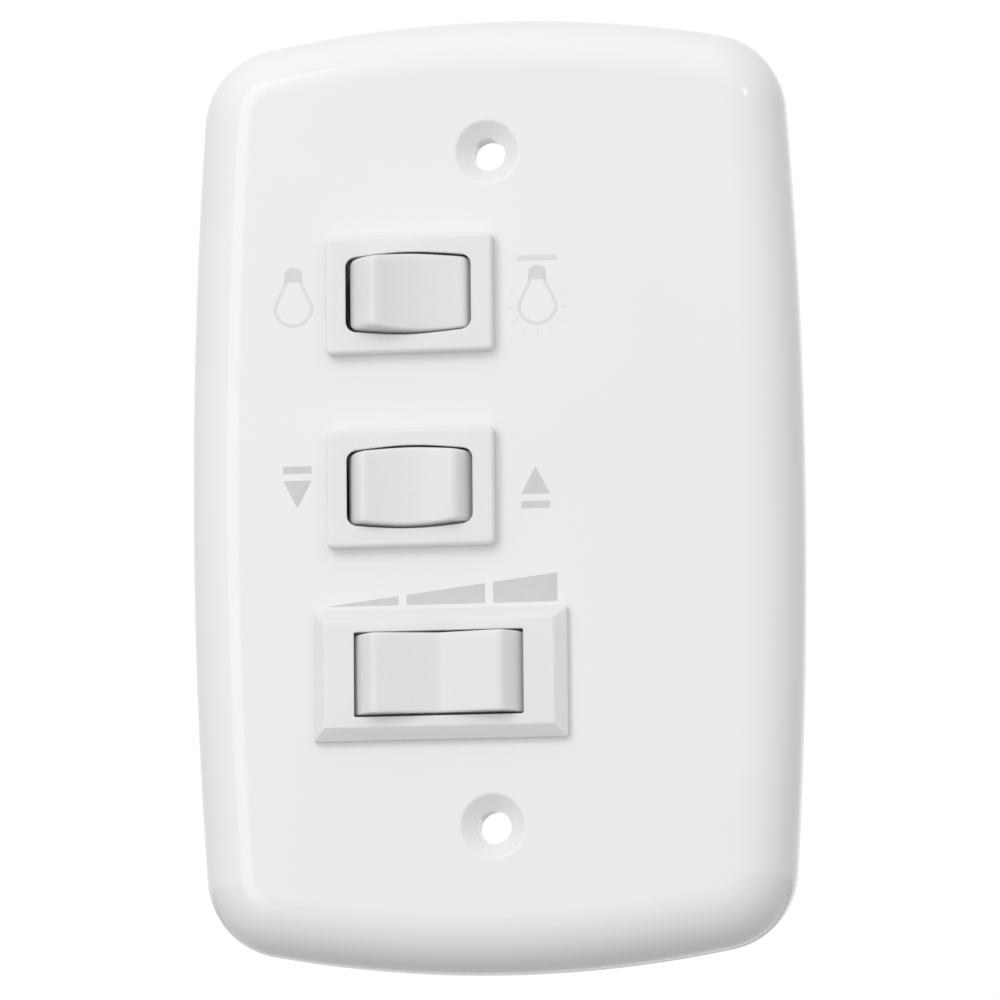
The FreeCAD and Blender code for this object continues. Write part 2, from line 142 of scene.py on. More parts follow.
def carve(piece, operation, bm):  # exact boolean with a throw-away form
    tool = newPiece("tool", bm, [])
    cut = piece.modifiers.new("cut", "BOOLEAN")
    cut.operation = operation
    cut.solver = "EXACT"
    cut.use_self = True
    cut.object = tool
    bakeModifiers(piece)
    bpy.data.objects.remove(tool)


def standFor(piece, node, body):  # rides on the body and hides the plain solid
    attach(piece, body)
    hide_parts(node)


def addLoft(bm, rings, closed=True):  # rings of equal length, as lists of (x, up, out)
    rows = [[bm.verts.new(place(*spot)) for spot in ring] for ring in rings]
    for low, high in zip(rows, rows[1:]):
        for i in range(len(low)):
            j = (i + 1) % len(low)
            bm.faces.new((low[i], low[j], high[j], high[i]))
    if closed:
        bm.faces.new(rows[0][::-1])
        bm.faces.new(rows[-1])
    return bm


def addBox(bm, x0, x1, up0, up1, out0, out1):
    rings = [[(x0, up0, out), (x1, up0, out), (x1, up1, out), (x0, up1, out)] for out in (out0, out1)]
    return addLoft(bm, rings)


def arcSteps(start, end, steps):
    return [start + (end - start) * i / steps for i in range(steps + 1)]


def fullTurn(steps):
    return [2 * pi * i / steps for i in range(steps)]


def addTurned(bm, x, up, profile, steps):  # (radius, out) pairs turned about a line out of the wall
    rings = []
    for radius, out in profile:
        rings.append([(x + radius * cos(a), up + radius * sin(a), out) for a in fullTurn(steps)])
    return addLoft(bm, rings)


def fourFold(quarter):  # from the x axis to the up axis, mirrored to a whole ring
    left = [(-x, up) for x, up in reversed(quarter)]
    ring = quarter[:-1] + left[:-1]
    return ring + [(-x, -up) for x, up in ring]


# Materials

noiseSpan = (0.3, 0.7)  # most of a noise lies between these values
glowDepth = 1.2  # mm that light runs under the skin of white plastic
lineStrength = 0.25  # bump of the rolling lines on metal


def newMaterial(name):
    material = bpy.data.materials.new(name)
    material.use_nodes = True
    tree = material.node_tree
    return material, tree, tree.nodes["Principled BSDF"]


def dressSurface(tree, shader, finish, tone, relief, strength, depth):  # tone colours it, relief roughens it
    colour = addNode(tree, "ShaderNodeMix", {0: tone, 6: tint(finish["light"]), 7: tint(finish["deep"])},
                     data_type="RGBA")
    rough = addNode(tree, "ShaderNodeMapRange",
                    {"Value": relief, "From Min": noiseSpan[0], "From Max": noiseSpan[1],
                     "To Min": finish["rough"][0], "To Max": finish["rough"][1]})
    bump = addNode(tree, "ShaderNodeBump", {"Height": relief, "Strength": strength, "Distance": depth * mm})
    tree.links.new(colour.outputs[2], shader.inputs["Base Color"])
    tree.links.new(rough.outputs["Result"], shader.inputs["Roughness"])
    tree.links.new(bump.outputs["Normal"], shader.inputs["Normal"])


def mouldedPlastic(finish):
    material, tree, shader = newMaterial(finish["name"])
    spot = addNode(tree, "ShaderNodeTexCoord").outputs["Object"]
    cloud = addNode(tree, "ShaderNodeTexNoise",
                    {"Vector": spot, "Scale": 1 / (finish["cloudSize"] * mm), "Detail": 2.0})
    grit = addNode(tree, "ShaderNodeTexNoise",
                   {"Vector": spot, "Scale": 1 / (finish["gritSize"] * mm), "Detail": 3.0, "Roughness": 0.6})
    dressSurface(tree, shader, finish, cloud.outputs["Fac"], grit.outputs["Fac"],
                 finish["gritStrength"], finish["gritDepth"])
    shader.inputs["IOR"].default_value = finish["ior"]
    shader.inputs["Subsurface Weight"].default_value = finish.get("glow", 0.0)
    shader.inputs["Subsurface Radius"].default_value = (1.0, 1.0, 1.0)
    shader.inputs["Subsurface Scale"].default_value = glowDepth * mm
    return material


def stampedMetal(finish):
    material, tree, shader = newMaterial(finish["name"])
    spot = addNode(tree, "ShaderNodeTexCoord").outputs["Object"]
    stretched = addNode(tree, "ShaderNodeMapping", {"Vector": spot, "Scale": finish["drawn"]}).outputs[0]
    lines = addNode(tree, "ShaderNodeTexNoise",
                    {"Vector": stretched, "Scale": 1 / (finish["lineSize"] * mm), "Detail": 4.0})
    stain = addNode(tree, "ShaderNodeTexNoise",
                    {"Vector": spot, "Scale": 1 / (finish["stainSize"] * mm), "Detail": 3.0})
    dressSurface(tree, shader, finish, stain.outputs["Fac"], lines.outputs["Fac"],
                 lineStrength, finish["lineDepth"])
    shader.inputs["Metallic"].default_value = 1.0
    return material


# Sizes in mm. Mould grain, ink grain and rolling lines are drawn coarser than life, so that they show.

# Polished ABS from a mirror mould: even white, crisp highlights on the roll, a faint ripple in the gloss
plateAbs = mouldedPlastic({
    "name": "polished moulded ABS", "light": "#f0f0f0", "deep": "#ececec", "cloudSize": 24.0,
    "gritSize": 2.6, "gritStrength": 0.1, "gritDepth": 0.012, "rough": (0.09, 0.13), "ior": 1.53})
# Nylon from a spark-eroded mould: satin with a fine grain, and a little light runs under its skin
switchNylon = mouldedPlastic({
    "name": "satin moulded nylon", "light": "#e9e9e9", "deep": "#e4e4e4", "cloudSize": 9.0, "glow": 0.4,
    "gritSize": 0.22, "gritStrength": 0.2, "gritDepth": 0.012, "rough": (0.34, 0.46), "ior": 1.53})
# ABS rockers: satin too, but smoother than the bodies, for the fingers
rockerAbs = mouldedPlastic({
    "name": "satin moulded ABS", "light": "#e6e6e6", "deep": "#e1e1e1", "cloudSize": 7.0, "glow": 0.4,
    "gritSize": 0.35, "gritStrength": 0.14, "gritDepth": 0.01, "rough": (0.26, 0.38), "ior": 1.53})
# Natural acetal: slightly warm and waxy
plungerAcetal = mouldedPlastic({
    "name": "natural acetal", "light": "#e9e4d6", "deep": "#dfd9c8", "cloudSize": 2.0,
    "gritSize": 0.2, "gritStrength": 0.2, "gritDepth": 0.01, "rough": (0.36, 0.5), "ior": 1.48})
# Black polypropylene case with a matt mould grain
capacitorCase = mouldedPlastic({
    "name": "moulded black polypropylene", "light": "#232426", "deep": "#191a1b", "cloudSize": 8.0,
    "gritSize": 0.3, "gritStrength": 0.4, "gritDepth": 0.03, "rough": (0.42, 0.6), "ior": 1.49})
# Poured epoxy: darker, glossy and a little wavy
pottingEpoxy = mouldedPlastic({
    "name": "poured epoxy", "light": "#17171a", "deep": "#0f0f11", "cloudSize": 4.0,
    "gritSize": 3.0, "gritStrength": 0.5, "gritDepth": 0.15, "rough": (0.16, 0.26), "ior": 1.55})
# Pad-printed ink: thin, matt and slightly uneven in its cover
padInk = {"gritSize": 0.12, "gritStrength": 0.2, "gritDepth": 0.004, "ior": 1.5}
signInk = mouldedPlastic(dict(
    padInk, name="pad-printed grey ink", light="#cfd1d2", deep="#c8cacb", cloudSize=1.6, rough=(0.4, 0.55)))
# The same ink where it lies thinner and thinner, and more of the white shows through
thinInk = mouldedPlastic(dict(
    padInk, name="thin grey ink", light="#d9dadb", deep="#d3d4d5", cloudSize=1.4, rough=(0.36, 0.5)))
faintInk = mouldedPlastic(dict(
    padInk, name="sparse grey ink", light="#dfe0e0", deep="#dadbdb", cloudSize=1.2, rough=(0.32, 0.46)))
hazeInk = mouldedPlastic(dict(
    padInk, name="worn grey ink", light="#e8e9e9", deep="#e3e4e4", cloudSize=0.9, rough=(0.26, 0.4)))
# Stamped brass: warm, with rolling lines along the strip and a light tarnish
terminalBrass = stampedMetal({
    "name": "stamped brass", "light": "#d9b56a", "deep": "#b98f49", "drawn": (9.0, 1.0, 9.0),
    "lineSize": 1.4, "lineDepth": 0.01, "stainSize": 3.0, "rough": (0.22, 0.36)})
# Drawn steel wire: cool grey with fine lines
springSteel = stampedMetal({
    "name": "drawn spring steel", "light": "#b9babc", "deep": "#97989b", "drawn": (4.0, 1.0, 4.0),
    "lineSize": 0.6, "lineDepth": 0.005, "stainSize": 1.0, "rough": (0.24, 0.36)})
# Silver alloy contact pads, dulled by arcing
contactSilver = stampedMetal({
    "name": "silver contact alloy", "light": "#dcdcd8", "deep": "#b4b3ae", "drawn": (1.0, 1.0, 1.0),
    "lineSize": 0.5, "lineDepth": 0.01, "stainSize": 0.6, "rough": (0.28, 0.42)})
# Tinned steel tabs: soft grey sheen with dip marks
tabTin = stampedMetal({
    "name": "tinned steel", "light": "#d0d1d2", "deep": "#b3b4b6", "drawn": (6.0, 1.0, 6.0),
    "lineSize": 1.2, "lineDepth": 0.008, "stainSize": 2.2, "rough": (0.24, 0.4)})
print("materials:", len(bpy.data.materials))


# The two kinds of switch, in mm about each pivot: x to the right, y up and z out of the wall

windowGap = 0.15  # between a switch body and its window in the plate
mini = {
    "bezel": (20.8, 14.6), "bezelHeight": 1.9, "bezelCorner": 0.7, "edge": (0.5, 0.55), "edgeRound": True,
    "lip": 0.7, "endWall": 0.85, "sideWall": 1.2, "pivotDepth": 4.0, "skirt": 1.2, "wellLip": 0.14,
    "rockerGap": 0.7, "bow": 0.55, "bowStart": 2.9, "corner": 0.6, "cornerGain": 0.7,
    "crestRise": 1.65, "dip": 0.95, "valley": False, "crestEase": 0.75, "rimEase": 0.4,
    "lug": {"drop": 2.0, "foot": 1.0, "root": 3.0}, "stem": 4.2,
}
large = {
    "bezel": (31.3, 16.0), "bezelHeight": 2.2, "bezelCorner": 0.3, "edge": (1.5, 1.2), "edgeRound": False,
    "lip": 1.45, "endWall": 1.65, "sideWall": 1.2, "pivotDepth": 6.8, "skirt": 2.0, "wellLip": 0.1,
    "rockerGap": 0.55, "bow": 0.0, "bowStart": 3.0, "corner": 0.2, "cornerGain": 0.05,
    "crestRise": 2.1, "dip": 1.8, "valley": True, "crestEase": 0.6, "rimEase": 0.3,
    "lug": {"drop": 2.6, "foot": 1.3, "root": 3.9}, "stem": 6.4,
}


def describeSwitch(name, form, throws):  # places from the joint, the rest from the sizes above
    joint = joints[name + "_rocker_tilt"]
    pivot = Vector(joint["pos_m"]) / mm
    low, high = [radians(limit) for limit in joint["range_deg"]]
    bodyHalf = [size / 2 - form["lip"] - windowGap for size in form["bezel"]]
    return dict(form, name=name, x=pivot.x, up=pivot.z, out=-pivot.y, throws=throws, rest=-(low + high) / 2,
                bezelHalf=[size / 2 for size in form["bezel"]], bodyHalf=bodyHalf,
                wellRadius=bodyHalf[0] - form["endWall"], wellHalf=bodyHalf[1] - form["sideWall"],
                crest=form["pivotDepth"] + form["crestRise"], seat=form["pivotDepth"] - form["bezelHeight"],
                bottom=pivot.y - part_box(name + "_housing")[1].y / mm)


switches = [describeSwitch("light", mini, (-1,)), describeSwitch("reverse", mini, (-1, 1)),
            describeSwitch("speed", large, (-1, 1))]  # the last pair says at which ends it makes contact


# Cover plate

plateLow, plateHigh = [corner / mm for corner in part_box("wall_plate")]
plateFront = -plateLow.y
plate = {
    "halfWidth": plateHigh.x, "halfLength": plateHigh.z, "height": plateFront,
    "sideRadius": 680.0, "endRadius": 150.0, "corner": 10.0, "roll": 7.0, "wall": 2.0, "face": 2.2,
    "innerBevel": 3.4, "footEase": 0.25, "flatEase": 0.5,
    "screwPitch": 83.3, "hole": 2.05, "sink": 3.95, "sinkDepth": 1.9, "lip": 0.55,
    "bossWall": 2.25, "bossDrop": 3.0, "gussetReach": 7.0, "rib": 1.2, "ribDrop": 5.0, "pocketGap": 0.2,
    "bite": 0.3, "overcut": 1.0,  # how far a rib sinks into the face, and a cutter runs past it
    "sideSteps": 12, "cornerSteps": 20, "endSteps": 16, "rollSteps": 18, "sinkSteps": 72, "lipSteps": 6,
    "cornerRounds": 20,
}
plateInner = plate["height"] - plate["face"]
screwUps = (plate["screwPitch"] / 2, -plate["screwPitch"] / 2)


def bowedRing(inset, out):  # four long bowed sides with tangent corner arcs, drawn in by the inset
    halfWidth, halfLength = plate["halfWidth"] - inset, plate["halfLength"] - inset
    side, end, corner = [plate[name] - inset for name in ("sideRadius", "endRadius", "corner")]
    x, up = halfWidth - corner, halfLength - corner
    for turn in range(plate["cornerRounds"]):  # the corner's centre, closed in on by turns
        x = halfWidth - side + sqrt((side - corner) ** 2 - up ** 2)
        up = halfLength - end + sqrt((end - corner) ** 2 - x ** 2)
    sideAngle = atan2(up, x - (halfWidth - side))
    endAngle = atan2(up - (halfLength - end), x)
    quarter = [(halfWidth - side + side * cos(a), side * sin(a))
               for a in arcSteps(0, sideAngle, plate["sideSteps"])[:-1]]
    quarter += [(x + corner * cos(a), up + corner * sin(a))
                for a in arcSteps(sideAngle, endAngle, plate["cornerSteps"])[:-1]]
    quarter += [(end * cos(a), halfLength - end + end * sin(a))
                for a in arcSteps(endAngle, pi / 2, plate["endSteps"])]
    return [(px, pup, out) for px, pup in fourFold(quarter)]


def plateShell():
    wall, bevel, ease, roll = plate["wall"], plate["innerBevel"], plate["footEase"], plate["roll"]
    profile = [(wall + bevel, plateInner), (wall, plateInner - bevel), (wall, ease), (wall - ease, 0),
               (ease, 0), (0, ease)]  # (inset, out) from the inner face round the foot
    foot = plate["height"] - roll
    for angle in arcSteps(0, pi / 2, plate["rollSteps"]):
        profile.append((roll - roll * cos(angle), foot + roll * sin(angle)))
    profile.append((roll + plate["flatEase"], plate["height"]))
    bm = addLoft(bmesh.new(), [bowedRing(inset, out) for inset, out in profile])
    return newPiece("cover_plate", bm, [plateAbs])


def plateRibs():  # a collar and a gusset behind each screw hole
    collar = plate["hole"] + plate["bossWall"]
    reach, rib = collar + plate["gussetReach"], plate["rib"]
    drop, top = plate["bossDrop"], plateInner + plate["bite"]
    ribs = bmesh.new()
    for up in screwUps:
        addTurned(ribs, 0, up, [(collar, plateInner - drop), (collar, top)], plate["sinkSteps"])
        addBox(ribs, -reach, reach, up - rib / 2, up + rib / 2, plateInner - drop / 2, top)
    return ribs


def capacitorPocket():  # a frame of ribs round the capacitor
    low, high = [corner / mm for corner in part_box("capacitor_case")]

    def ribRing(room, out):
        x0, x1, up0, up1 = low.x - room, high.x + room, low.z - room, high.z + room
        return [(x0, up0, out), (x1, up0, out), (x1, up1, out), (x0, up1, out)]

    near, far = plate["pocketGap"], plate["pocketGap"] + plate["rib"]
    drop, top = plateInner - plate["ribDrop"], plateInner + plate["bite"]
    corners = [(far, drop), (far, top), (near, top), (near, drop), (far, drop)]
    return addLoft(bmesh.new(), [ribRing(room, out) for room, out in corners], closed=False)


def plateCuts():  # three windows and two countersunk holes
    top, over = plate["height"], plate["overcut"]
    cuts = bmesh.new()
    for switch in switches:
        halfX, halfUp = [half + windowGap for half in switch["bodyHalf"]]
        x, up = switch["x"], switch["up"]
        addBox(cuts, x - halfX, x + halfX, up - halfUp, up + halfUp, plateInner - over, top + over)
    hole, sink, lip = plate["hole"], plate["sink"], plate["lip"]
    slope = atan2(plate["sinkDepth"], sink - hole)
    edge = sink + lip * tan(slope / 2)
    profile = [(hole, -over), (hole, top - plate["sinkDepth"])]
    for angle in arcSteps(slope, 0, plate["lipSteps"]):  # the lip eases from the cone into the face
        profile.append((edge - lip * sin(angle), top - lip + lip * cos(angle)))
    profile.append((edge, top + over))
    for up in screwUps:
        addTurned(cuts, 0, up, profile, plate["sinkSteps"])
    return cuts


def makePlate():
    piece = plateShell()
    carve(piece, "UNION", plateRibs())
    carve(piece, "UNION", capacitorPocket())
    carve(piece, "DIFFERENCE", plateCuts())
    smoothOver(piece, meshing["sharp"])
    standFor(piece, "wall_plate", "plate")


makePlate()
print("plate done")


# Rings of the switches: boxes, and drums about the pivot cut level

ringSteps = {"edge": 10, "corner": 8, "pin": 32}


def boxQuarter(halfX, halfUp, radius):
    edge = ringSteps["edge"]
    quarter = [(halfX, (halfUp - radius) * i / edge) for i in range(edge)]
    quarter += [(halfX - radius + radius * cos(a), halfUp - radius + radius * sin(a))
                for a in arcSteps(0, pi / 2, ringSteps["corner"])]
    return quarter + [((halfX - radius) * (1 - i / edge), halfUp) for i in range(1, edge + 1)]


def drumOf(switch, radius, half, corner):
    return {"radius": radius, "half": half, "bow": switch["bow"], "bowStart": switch["bowStart"],
            "corner": corner}


def drumHalf(drum, radius):  # half the drum's width at a distance from its axis
    shoulder = drum["half"] - drum["bow"]
    knee = drum["radius"] - drum["corner"]
    if radius > knee:
        share = min((radius - knee) / drum["corner"], 1.0)
        return shoulder - drum["corner"] + drum["corner"] * sqrt(1 - share * share)
    share = (knee - radius) / (knee - drum["bowStart"])
    return shoulder + drum["bow"] * min(max(share, 0.0), 1.0)


def drumQuarter(drum, z):  # the drum cut level at a height over its axis
    def reach(radius):
        return sqrt(max(radius * radius - z * z, 0.0))

    edge, corner = ringSteps["edge"], drum["corner"]
    knee = drum["radius"] - corner
    start = drum["half"] - drum["bow"] - corner
    quarter = [(reach(drum["radius"]), start * i / edge) for i in range(edge)]
    for angle in arcSteps(0, pi / 2, ringSteps["corner"]):
        quarter.append((reach(knee + corner * cos(angle)), start + corner * sin(angle)))
    side = reach(knee)
    for i in range(1, edge + 1):
        x = side * (1 - i / edge)
        quarter.append((x, drumHalf(drum, hypot(x, z))))
    return quarter


def atSwitch(switch, x, y, z):  # from the pivot to the plate's drawing
    return switch["x"] + x, switch["up"] + y, switch["out"] + z


def switchRing(switch, quarter, z):
    return [atSwitch(switch, x, y, z) for x, y in fourFold(quarter)]


def switchBox(bm, switch, x0, x1, y0, y1, z0, z1):
    x, up, out = switch["x"], switch["up"], switch["out"]
    return addBox(bm, x + x0, x + x1, up + y0, up + y1, out + z0, out + z1)


# Switch bodies with their bezels

housing = {  # the same in every switch
    "bore": 1.3, "floor": 1.2, "blade": (0.8, 4.8), "slotGap": 0.06, "contactInset": 1.0, "barGap": 1.8,
    "chamberCorner": 0.3, "bodyCorner": 0.4, "bodyEase": 0.35, "bevelEase": 0.12, "overcut": 1.0,
    "cornerDraw": 0.5, "leastCorner": 0.1,  # how the bezel's corner tightens with its inset
    "wing": {"width": 6.0, "length": 6.0, "reach": 1.2, "thick": 0.7, "gap": 0.15, "root": 1.4, "sunk": 0.5},
    "stop": {"halfX": 1.0, "halfUp": 2.3, "height": 1.2, "sunk": 0.4},
    "wellSteps": 6, "lipSteps": 4, "easeSteps": 4, "edgeSteps": 8,
}


def bezelEdge(switch):  # (inset, height under the front) from the face out and down
    wide, deep = switch["edge"]
    if switch["edgeRound"]:
        return [(wide - wide * sin(a), deep - deep * cos(a))
                for a in arcSteps(0, pi / 2, housing["edgeSteps"])]
    soft = housing["bevelEase"]  # the bevel's upper edge and then its lower edge, each eased by three points
    upper = [(wide + soft, 0.0), (wide + soft / 3, soft * 0.2), (wide - soft, soft * 1.1)]
    return upper + [(soft, deep - soft * 0.7), (soft * 0.2, deep), (0.0, deep + soft)]


def bodyShell(switch, floor):  # one skin: up the well, over the bezel, down the body and across its back
    front, seat, bottom = switch["pivotDepth"], switch["seat"], switch["bottom"]
    chamber = boxQuarter(switch["wellRadius"], switch["wellHalf"], housing["chamberCorner"])
    corner = switch["corner"] + switch["cornerGain"]
    well = drumOf(switch, switch["wellRadius"], switch["wellHalf"], corner)
    rings = [(chamber, floor), (chamber, switch["skirt"])]
    lip = switch["wellLip"]
    for z in arcSteps(switch["skirt"], front - lip, housing["wellSteps"]):
        rings.append((drumQuarter(well, z), z))
    for angle in arcSteps(0, pi / 2, housing["lipSteps"])[1:]:
        growth = lip - lip * cos(angle)
        wider = drumOf(switch, switch["wellRadius"] + growth, switch["wellHalf"] + growth, corner)
        z = front - lip + lip * sin(angle)
        rings.append((drumQuarter(wider, z), z))
    halfX, halfUp = switch["bezelHalf"]
    for inset, drop in bezelEdge(switch):
        tight = max(switch["bezelCorner"] - inset * housing["cornerDraw"], housing["leastCorner"])
        rings.append((boxQuarter(halfX - inset, halfUp - inset, tight), front - drop))
    rings.append((boxQuarter(halfX, halfUp, switch["bezelCorner"]), seat))
    bodyX, bodyUp = switch["bodyHalf"]
    ease, corner = housing["bodyEase"], housing["bodyCorner"]
    rings.append((boxQuarter(bodyX, bodyUp, corner), seat))
    for angle in arcSteps(0, pi / 2, housing["easeSteps"]):
        inset = ease - ease * cos(angle)
        z = bottom + ease - ease * sin(angle)
        rings.append((boxQuarter(bodyX - inset, bodyUp - inset, corner), z))
    bm = addLoft(bmesh.new(), [switchRing(switch, quarter, z) for quarter, z in rings])
    return newPiece(switch["name"] + "_switch_body", bm, [switchNylon])


def bodyExtras(switch, floor, contactX):  # snap wings, and a stop for the bar where it has no contact
    wing, stop = housing["wing"], housing["stop"]
    bodyX = switch["bodyHalf"][0]
    root, end, thick = bodyX - wing["sunk"], bodyX + wing["reach"], wing["thick"]
    back = switch["seat"] - plate["face"]
    tip, foot = back - wing["gap"], back - wing["length"]
    high = foot + wing["root"]
    outline = [(root, foot), (bodyX, foot), (end, tip - thick), (end, tip), (end - thick, tip), (bodyX, high),
               (root, high)]
    extras = bmesh.new()
    for side in (-1, 1):
        addLoft(extras, [[atSwitch(switch, side * x, y, z) for x, z in outline]
                         for y in (-wing["width"] / 2, wing["width"] / 2)])
    for side in (-1, 1):
        if side not in switch["throws"]:
            x = side * contactX
            switchBox(extras, switch, x - stop["halfX"], x + stop["halfX"], -stop["halfUp"], stop["halfUp"],
                      floor - stop["sunk"], floor + stop["height"])
    return extras


def bodyCuts(switch, floor, contactX):  # trunnion bores and terminal slots
    cuts = bmesh.new()
    bore, end = housing["bore"], switch["bezelHalf"][1]
    addLoft(cuts, [[atSwitch(switch, bore * cos(a), y, bore * sin(a))
                    for a in fullTurn(ringSteps["pin"])] for y in (-end, end)])
    strip, width = [size / 2 + housing["slotGap"] for size in housing["blade"]]
    low, high = switch["bottom"] - housing["overcut"], floor + housing["overcut"]
    for x in [0] + [side * (contactX + housing["contactInset"]) for side in switch["throws"]]:
        switchBox(cuts, switch, x - strip, x + strip, -width, width, low, high)
    return cuts


def makeHousing(switch):
    floor = switch["bottom"] + housing["floor"]
    contactX = switch["wellRadius"] - housing["barGap"] - housing["contactInset"]
    piece = bodyShell(switch, floor)
    carve(piece, "UNION", bodyExtras(switch, floor, contactX))
    carve(piece, "DIFFERENCE", bodyCuts(switch, floor, contactX))
    smoothOver(piece, meshing["sharp"])
    standFor(piece, switch["name"] + "_housing", "plate")


for switch in switches:
    makeHousing(switch)
print("switch bodies done")


# Rockers

plunger = {"width": 2.8, "fit": 0.08, "length": 1.2}
spring = {"length": 3.8, "wire": 0.4, "room": 0.15, "turns": 4.0, "turnSteps": 28, "wireSides": 10}
rocker = {  # the same in every switch
    "sideGap": 0.3, "wall": 1.1, "roof": 1.3, "stemWall": 0.7, "valleyEase": 0.12, "rimBlend": 0.25,
    "trunnion": 1.25, "pinInset": 0.2, "pinRoot": 0.2, "lugRise": 0.4, "lugInner": 0.05, "lugOuter": 0.02,
    "drumSteps": 8, "bendSteps": 8, "topSteps": 12, "levelSteps": 6, "acrossSteps": 4, "rimSteps": 4,
    "sharp": 40,
}


def topHeight(switch, x, crestX):  # the pressed face: a shallow dish, or two flats that meet in a valley
    dip = switch["dip"]
    if switch["valley"]:
        soft = rocker["valleyEase"]
        return switch["crest"] - dip + dip / crestX * (hypot(x, soft) - soft)
    radius = (crestX ** 2 + dip ** 2) / (2 * dip)
    return switch["crest"] - dip + radius - sqrt(radius ** 2 - x ** 2)


def capStations(switch, drum, lowered):  # the rocker's outline along its length, from skirt to skirt
    radius, ease = drum["radius"], switch["crestEase"]
    crestX = sqrt(radius ** 2 - (switch["crest"] - lowered) ** 2)
    crest = Vector((crestX, topHeight(switch, crestX, crestX) - lowered))
    skirt = acos(switch["skirt"] / radius)
    turn = atan2(crest.x, crest.y) + ease / radius
    drumSide = [Vector((radius * sin(a), radius * cos(a)))
                for a in arcSteps(skirt, turn, rocker["drumSteps"])]
    inner = crestX - ease
    first = Vector((inner, topHeight(switch, inner, crestX) - lowered))
    bend = []  # from the drum over the crest
    for t in arcSteps(0, 1, rocker["bendSteps"])[1:-1]:
        bend.append(drumSide[-1] * (1 - t) ** 2 + crest * 2 * t * (1 - t) + first * t ** 2)
    top = []
    for i in range(2 * rocker["topSteps"] + 1):
        x = inner * (1 - i / rocker["topSteps"])
        top.append(Vector((x, topHeight(switch, x, crestX) - lowered)))
    right = drumSide + bend
    left = [Vector((-spot.x, spot.y)) for spot in reversed(right)]
    return right + top + left


def capSkin(switch, drum, lowered):  # rows of points over the cap: (x, across, z)
    knee = drum["radius"] - drum["corner"]
    steps = rocker["levelSteps"]
    levels = [knee + drum["corner"] * cos(a) for a in arcSteps(0, pi / 2, steps)]
    levels += [knee * (1 - i / steps) for i in range(1, steps + 1)]
    rows = []
    for spot in capStations(switch, drum, lowered):
        radius = spot.length
        base = radius * switch["skirt"] / spot.y
        half = drumHalf(drum, radius)
        blend = (drum["radius"] - radius) / rocker["rimBlend"]
        ease = switch["rimEase"] * min(1.0, max(0.0, blend))  # none on the drum itself
        under = max(radius - ease, base)
        across = rocker["acrossSteps"]
        side = [(radius, (half - ease) * i / across) for i in range(across + 1)]
        for t in arcSteps(0, 1, rocker["rimSteps"])[1:]:  # the rounded rim
            r = radius * (1 - t ** 2) + under * t ** 2
            y = (half - ease) * (1 - t) ** 2 + half * 2 * t * (1 - t) + drumHalf(drum, under) * t ** 2
            side.append((r, y))
        for level in levels:
            r = max(min(level, under), base)
            side.append((r, drumHalf(drum, r)))
        full = [(r, -y) for r, y in reversed(side)] + side[1:]
        direction = spot.normalized()
        rows.append([(direction.x * r, y, direction.y * r) for r, y in full])
    return rows


def tipped(switch, x, y, z):  # the rocker as it rests, turned about its pivot
    c, s = cos(switch["rest"]), sin(switch["rest"])
    return place(switch["x"] + x * c + z * s, switch["up"] + y, switch["out"] - x * s + z * c)


def addTipped(bm, switch, rings):  # a loft that tips with the rocker
    first = len(bm.verts)
    addLoft(bm, [[(0, 0, 0)] * len(ring) for ring in rings])
    bm.verts.ensure_lookup_table()
    for vert, spot in zip(bm.verts[first:], [spot for ring in rings for spot in ring]):
        vert.co = tipped(switch, *spot)


def capShell(switch, radius, half):  # outer and inner skin, joined round the skirt
    wall = rocker["wall"]
    skins = [capSkin(switch, drumOf(switch, radius, half, switch["corner"]), 0.0),
             capSkin(switch, drumOf(switch, radius - wall, half - wall, switch["corner"]), rocker["roof"])]
    bm = bmesh.new()
    rims = []
    for skin in skins:
        grid = [[bm.verts.new(tipped(switch, *spot)) for spot in row] for row in skin]
        for low, high in zip(grid, grid[1:]):
            for i in range(len(low) - 1):
                bm.faces.new((low[i], low[i + 1], high[i + 1], high[i]))
        ends = [row[-1] for row in grid[1:-1]]
        starts = [row[0] for row in grid[-2:0:-1]]
        rims.append(grid[0] + ends + grid[-1][::-1] + starts)
    outer, inner = rims
    for i in range(len(outer)):
        j = (i + 1) % len(outer)
        bm.faces.new((outer[i], outer[j], inner[j], inner[i]))
    return newPiece(switch["name"] + "_rocker_cap", bm, [rockerAbs])


def capInside(switch, half):  # lugs with their trunnions, and the stem that holds spring and plunger
    parts = bmesh.new()
    lug = switch["lug"]
    hollow = half - switch["bow"] - rocker["wall"]
    pinEnd = switch["bodyHalf"][1] - rocker["pinInset"]
    high = switch["skirt"] + rocker["lugRise"]
    root, foot, low = lug["root"], lug["foot"], -lug["drop"]
    plan = [(-root, high), (-foot, low), (foot, low), (root, high)]
    pin = [(rocker["trunnion"] * cos(a), rocker["trunnion"] * sin(a))
           for a in fullTurn(ringSteps["pin"])]
    for side in (-1, 1):
        ends = (side * (hollow + rocker["lugInner"]), side * (half - rocker["lugOuter"]))
        addTipped(parts, switch, [[(x, y, z) for x, z in plan] for y in ends])
        ends = (side * (hollow + rocker["pinRoot"]), side * pinEnd)
        addTipped(parts, switch, [[(x, y, z) for x, z in pin] for y in ends])

    def square(size, z):
        return [(size, size, z), (-size, size, z), (-size, -size, z), (size, -size, z)]

    bore = plunger["width"] / 2 + plunger["fit"]
    stem = bore + rocker["stemWall"]
    stemEnd = -switch["stem"]
    springTop = plunger["length"] + spring["length"] - switch["stem"]
    ceiling = switch["crest"] - switch["dip"] - rocker["roof"] / 2
    addTipped(parts, switch, [square(bore, springTop), square(bore, stemEnd), square(stem, stemEnd),
                              square(stem, ceiling)])
    return parts


